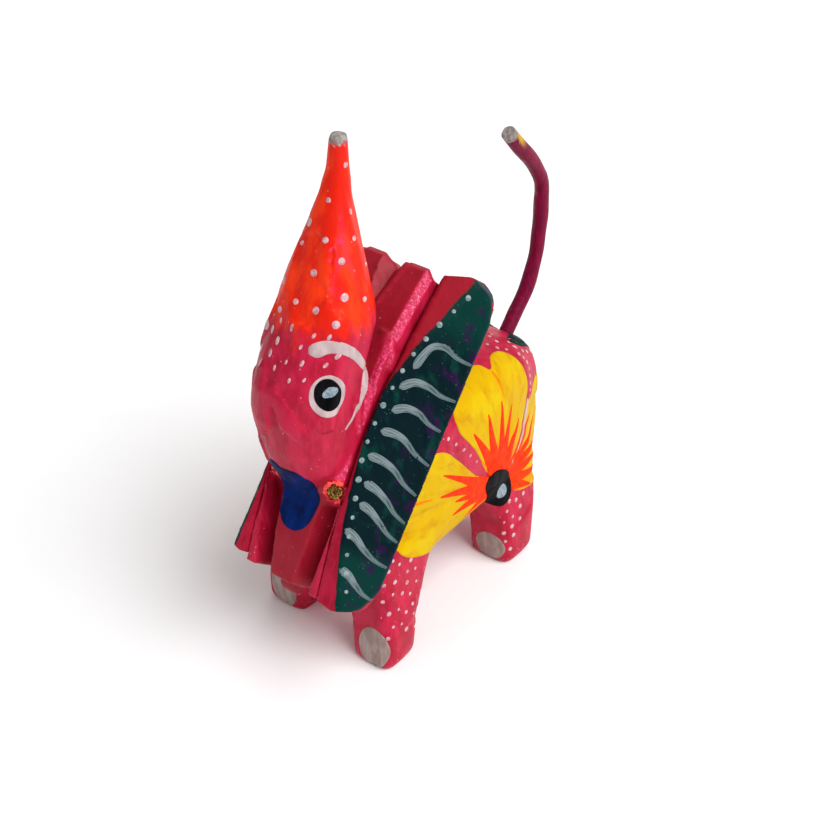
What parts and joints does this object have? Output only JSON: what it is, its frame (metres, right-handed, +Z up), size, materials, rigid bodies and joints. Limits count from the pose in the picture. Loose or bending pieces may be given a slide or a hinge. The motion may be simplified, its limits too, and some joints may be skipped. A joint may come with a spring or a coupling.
{
  "type": "carved wooden elephant figure",
  "caption": "Hand-carved, brightly painted wooden elephant with raised trunk, large leaning ears and a twig tail that turns in its hole.",
  "frame": {"origin": "on the surface that the feet stand on, below the middle of the whole length and width", "axes": "+Z up; the animal faces -Y and its left side is +X"},
  "size_m": [0.0322, 0.0776, 0.0962],
  "materials": {
    "painted_body": "pink acrylic paint with petals and dots, satin",
    "painted_head": "pink and orange acrylic paint with dots, satin",
    "painted_ear": "dark teal acrylic paint with fine glitter",
    "painted_tail": "magenta acrylic paint over a peeled twig",
    "bare_wood": "bare soft wood"
  },
  "bodies": {
    "body": {"body": "painted_body", "head": "painted_head", "left_ear": "painted_ear", "right_ear": "painted_ear", "neck_dowel": "bare_wood", "left_tusk_stub": "bare_wood", "right_tusk_stub": "bare_wood"},
    "tail": {"tail": "painted_tail"}
  },
  "joints": [
    {"name": "tail_turn", "type": "hinge", "parent": "body", "child": "tail", "pos_m": [0, 0.028, 0.0388], "axis": [0, 0.6801, 0.7331], "continuous": true}
  ]
}
